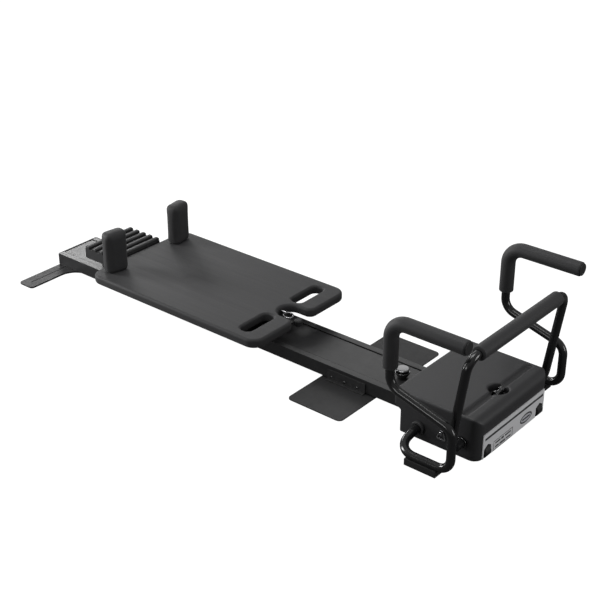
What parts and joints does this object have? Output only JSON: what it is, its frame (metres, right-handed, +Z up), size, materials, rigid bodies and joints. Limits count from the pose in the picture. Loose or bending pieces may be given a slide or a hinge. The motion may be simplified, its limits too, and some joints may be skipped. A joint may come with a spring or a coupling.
{
  "type": "pilates reformer",
  "caption": "Low floor-rail pilates reformer with a sliding carriage, upright shoulder rests, a ribbed foot platform and a front base with a folding foot bar and folding side handles.",
  "frame": {"origin": "on the floor, at the middle of the overall box in X and Y", "axes": "+X from the rear foot to the front base, +Y to the left when facing the front base, +Z up"},
  "size_m": [2.004, 0.683, 0.4825],
  "materials": {
    "black_gloss_tube": "gloss",
    "satin_black_steel": "satin",
    "plate_black_steel": "satin",
    "black_moulding": "satin",
    "deck_skin": "matte",
    "grip_foam": "matte",
    "black_rubber": "matte",
    "chrome_steel": "polished",
    "bare_steel": "brushed",
    "silver_panel": "satin"
  },
  "bodies": {
    "frame": {"bar_collar_left": "chrome_steel", "bar_collar_right": "chrome_steel", "base_floor_pan": "satin_black_steel", "base_foot_left": "black_rubber", "base_foot_right": "black_rubber", "base_housing": "black_moulding", "base_top": "black_moulding", "cord_post": "black_rubber", "cord_post_cap": "chrome_steel", "cord_post_ring": "chrome_steel", "cord_roller_axle": "bare_steel", "front_panel": "silver_panel", "handle_collar_left": "black_moulding", "handle_collar_right": "black_moulding", "platform_riser": "satin_black_steel", "rail": "satin_black_steel", "rail_cover": "satin_black_steel", "rail_end_cap": "black_moulding", "rear_bumper": "black_rubber", "rear_foot": "plate_black_steel", "rear_foot_pad_left": "black_rubber", "rear_foot_pad_right": "black_rubber", "ribbed_platform": "black_moulding", "ring_stud_left": "chrome_steel", "ring_stud_right": "chrome_steel", "transport_axle": "bare_steel", "wing_bracket_left": "plate_black_steel", "wing_bracket_right": "plate_black_steel", "wing_pad_left": "black_rubber", "wing_pad_right": "black_rubber", "wing_plate": "plate_black_steel"},
    "carriage": {"carriage_deck": "deck_skin", "carriage_tray": "satin_black_steel", "wheel_axle_rear": "bare_steel", "wheel_axle_front": "bare_steel", "shoulder_rest_right": "deck_skin", "shoulder_rest_left": "deck_skin", "carriage_eye": "chrome_steel", "carriage_bumper": "black_rubber"},
    "carriage_ring": {"carriage_ring": "chrome_steel"},
    "foot_bar": {"foot_bar_tube": "black_gloss_tube", "foot_bar_grip": "grip_foam"},
    "cord_roller": {"cord_roller": "chrome_steel"},
    "handle_right": {"handle_tube_right": "black_gloss_tube", "handle_grip_right": "grip_foam", "handle_plug_right": "black_rubber", "handle_pad_right": "black_rubber"},
    "side_ring_right": {"side_ring_right": "chrome_steel"},
    "transport_wheel_right": {"transport_wheel_right": "black_rubber"},
    "carriage_wheel_rear_right": {"carriage_wheel_rear_right": "black_rubber"},
    "carriage_wheel_front_right": {"carriage_wheel_front_right": "black_rubber"},
    "handle_left": {"handle_tube_left": "black_gloss_tube", "handle_grip_left": "grip_foam", "handle_plug_left": "black_rubber", "handle_pad_left": "black_rubber"},
    "side_ring_left": {"side_ring_left": "chrome_steel"},
    "transport_wheel_left": {"transport_wheel_left": "black_rubber"},
    "carriage_wheel_rear_left": {"carriage_wheel_rear_left": "black_rubber"},
    "carriage_wheel_front_left": {"carriage_wheel_front_left": "black_rubber"}
  },
  "joints": [
    {"name": "carriage_slide", "type": "slide", "parent": "frame", "child": "carriage", "axis": [1, 0, 0], "range_m": [0, 0.5]},
    {"name": "carriage_wheel_rear_right_spin", "type": "hinge", "parent": "carriage", "child": "carriage_wheel_rear_right", "pos_m": [-0.42, -0.0808, 0.0746], "axis": [0, 1, 0], "continuous": true},
    {"name": "carriage_wheel_rear_left_spin", "type": "hinge", "parent": "carriage", "child": "carriage_wheel_rear_left", "pos_m": [-0.42, 0.0808, 0.0746], "axis": [0, 1, 0], "continuous": true},
    {"name": "carriage_wheel_front_right_spin", "type": "hinge", "parent": "carriage", "child": "carriage_wheel_front_right", "pos_m": [-0.09, -0.0808, 0.0746], "axis": [0, 1, 0], "continuous": true},
    {"name": "carriage_wheel_front_left_spin", "type": "hinge", "parent": "carriage", "child": "carriage_wheel_front_left", "pos_m": [-0.09, 0.0808, 0.0746], "axis": [0, 1, 0], "continuous": true},
    {"name": "carriage_ring_swing", "type": "hinge", "parent": "carriage", "child": "carriage_ring", "pos_m": [0.064, 0, 0.117], "axis": [0, 1, 0], "range_deg": [-45, 10]},
    {"name": "foot_bar_fold", "type": "hinge", "parent": "frame", "child": "foot_bar", "pos_m": [0.928, 0, 0.06], "axis": [0, 1, 0], "range_deg": [-86, 0]},
    {"name": "cord_roller_spin", "type": "hinge", "parent": "frame", "child": "cord_roller", "pos_m": [0.922, 0, 0.136], "axis": [0, 1, 0], "continuous": true},
    {"name": "handle_right_fold", "type": "hinge", "parent": "frame", "child": "handle_right", "pos_m": [0.772, -0.318, 0.048], "axis": [0, 1, 0], "range_deg": [-85, 0]},
    {"name": "side_ring_right_swing", "type": "hinge", "parent": "frame", "child": "side_ring_right", "pos_m": [0.857, -0.206, 0.066], "axis": [0, 1, 0], "range_deg": [-40, 40]},
    {"name": "transport_wheel_right_spin", "type": "hinge", "parent": "frame", "child": "transport_wheel_right", "pos_m": [0.971, -0.15, 0.024], "axis": [0, 1, 0], "continuous": true},
    {"name": "handle_left_fold", "type": "hinge", "parent": "frame", "child": "handle_left", "pos_m": [0.772, 0.318, 0.048], "axis": [0, 1, 0], "range_deg": [-85, 0]},
    {"name": "side_ring_left_swing", "type": "hinge", "parent": "frame", "child": "side_ring_left", "pos_m": [0.857, 0.206, 0.066], "axis": [0, 1, 0], "range_deg": [-40, 40]},
    {"name": "transport_wheel_left_spin", "type": "hinge", "parent": "frame", "child": "transport_wheel_left", "pos_m": [0.971, 0.15, 0.024], "axis": [0, 1, 0], "continuous": true}
  ],
  "couplings": [
    {"joint": "carriage_wheel_rear_right_spin", "follows": "carriage_slide", "rad_per_m": 55.556},
    {"joint": "carriage_wheel_rear_left_spin", "follows": "carriage_slide", "rad_per_m": 55.556},
    {"joint": "carriage_wheel_front_right_spin", "follows": "carriage_slide", "rad_per_m": 55.556},
    {"joint": "carriage_wheel_front_left_spin", "follows": "carriage_slide", "rad_per_m": 55.556}
  ]
}
